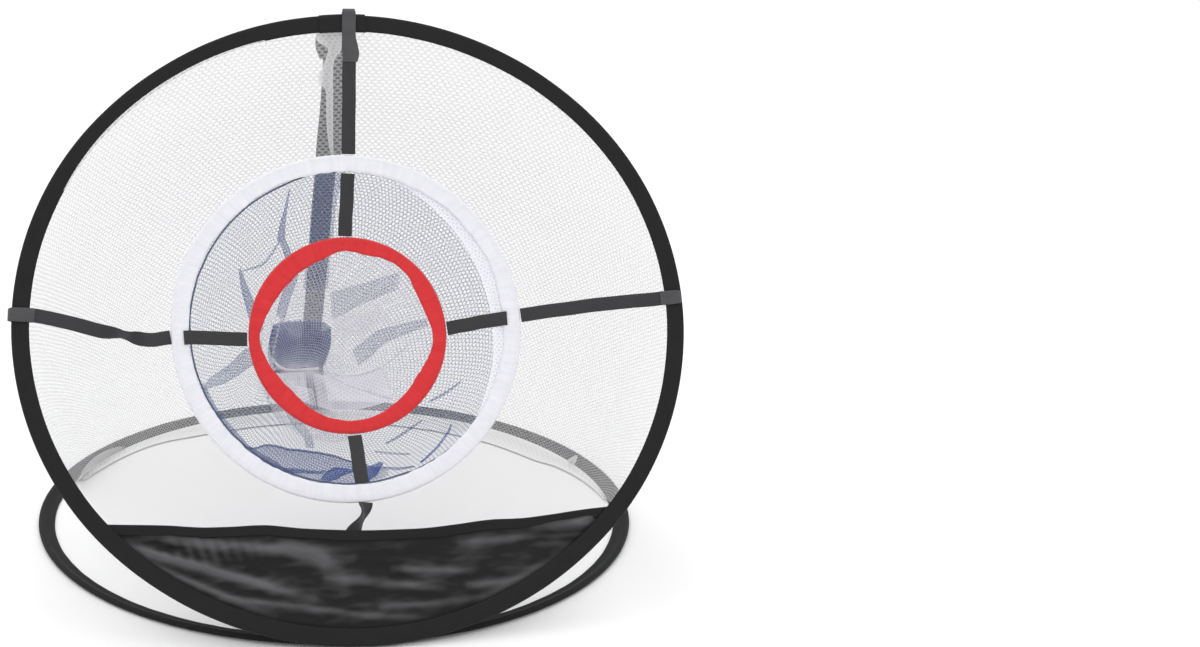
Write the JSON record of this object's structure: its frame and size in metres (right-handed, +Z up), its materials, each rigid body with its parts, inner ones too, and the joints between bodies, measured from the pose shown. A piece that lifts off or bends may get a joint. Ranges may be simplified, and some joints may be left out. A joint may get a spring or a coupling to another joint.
{
  "type": "golf chipping net",
  "caption": "Pop-up chipping target for lawn golf: two sleeved spring hoops joined in a wedge by a net wall, with ringed target bags hung in the front hoop on webbing straps.",
  "frame": {"origin": "on the floor under the middle of the whole object, which is the centre of the base hoop to within 3 mm", "axes": "+X to the player's right, +Y from the player to the back, +Z up; the front hoop faces -Y and leans back"},
  "size_m": [0.5374, 0.5214, 0.4513],
  "materials": {
    "spring_steel": "drawn wire",
    "ferrule_steel": "crimped tube",
    "black_binding": "woven polyester binding",
    "white_binding": "woven polyester binding",
    "red_binding": "gathered nylon",
    "black_webbing": "flat woven webbing",
    "black_cloth": "close-woven polyester",
    "white_net": "warp-knitted hexagonal mesh",
    "blue_net": "warp-knitted hexagonal mesh"
  },
  "bodies": {
    "base": {"base_hoop_wire": "spring_steel", "base_hoop_ferrule": "ferrule_steel", "base_hoop_sleeve": "black_binding", "net_wall_lower": "white_net", "rear_strap_lower": "black_webbing", "hinge_tabs": "black_binding"},
    "front_frame": {"front_hoop_wire": "spring_steel", "front_hoop_ferrule": "ferrule_steel", "front_hoop_sleeve": "black_binding", "front_sleeve_joint": "black_binding", "net_wall_upper": "white_net", "rear_strap_upper": "black_webbing", "rear_strap_fold": "black_webbing", "pocket_panel": "black_cloth", "pocket_hem": "black_cloth", "strap_loop_top": "black_webbing", "strap_loop_left": "black_webbing", "strap_loop_right": "black_webbing", "outer_strap_top": "black_webbing", "outer_strap_left": "black_webbing", "outer_strap_right": "black_webbing", "outer_strap_bottom": "black_webbing"},
    "middle_ring": {"middle_ring_wire": "spring_steel", "middle_ring_ferrule": "ferrule_steel", "middle_ring_sleeve": "white_binding", "middle_bag_net": "blue_net", "middle_bag_binding": "blue_net", "inner_strap_top": "black_webbing", "inner_strap_left": "black_webbing", "inner_strap_right": "black_webbing", "inner_strap_bottom": "black_webbing"},
    "inner_ring": {"inner_ring_wire": "spring_steel", "inner_ring_ferrule": "ferrule_steel", "inner_ring_sleeve": "red_binding", "inner_bag_net": "white_net"}
  },
  "joints": [
    {"name": "hoop_fold", "type": "hinge", "parent": "base", "child": "front_frame", "pos_m": [0, -0.2565, 0.0056], "axis": [1, 0, 0], "range_deg": [-53.2, 0], "stiffness_Nm_per_rad": 0.6, "springref_deg": 45.84, "deforming": ["net_wall_upper", "net_wall_lower", "rear_strap_upper", "rear_strap_lower", "rear_strap_fold", "middle_bag_net", "inner_bag_net", "hinge_tabs"]},
    {"name": "middle_ring_push", "type": "slide", "parent": "front_frame", "child": "middle_ring", "axis": [0, 0.8926, -0.4509], "range_m": [-0.025, 0.025], "stiffness_N_per_m": 200, "deforming": ["outer_strap_top", "outer_strap_left", "outer_strap_right", "outer_strap_bottom"]},
    {"name": "inner_ring_push", "type": "slide", "parent": "middle_ring", "child": "inner_ring", "axis": [0, 0.8926, -0.4509], "range_m": [-0.015, 0.015], "stiffness_N_per_m": 150, "deforming": ["inner_strap_top", "inner_strap_left", "inner_strap_right", "inner_strap_bottom"]}
  ]
}
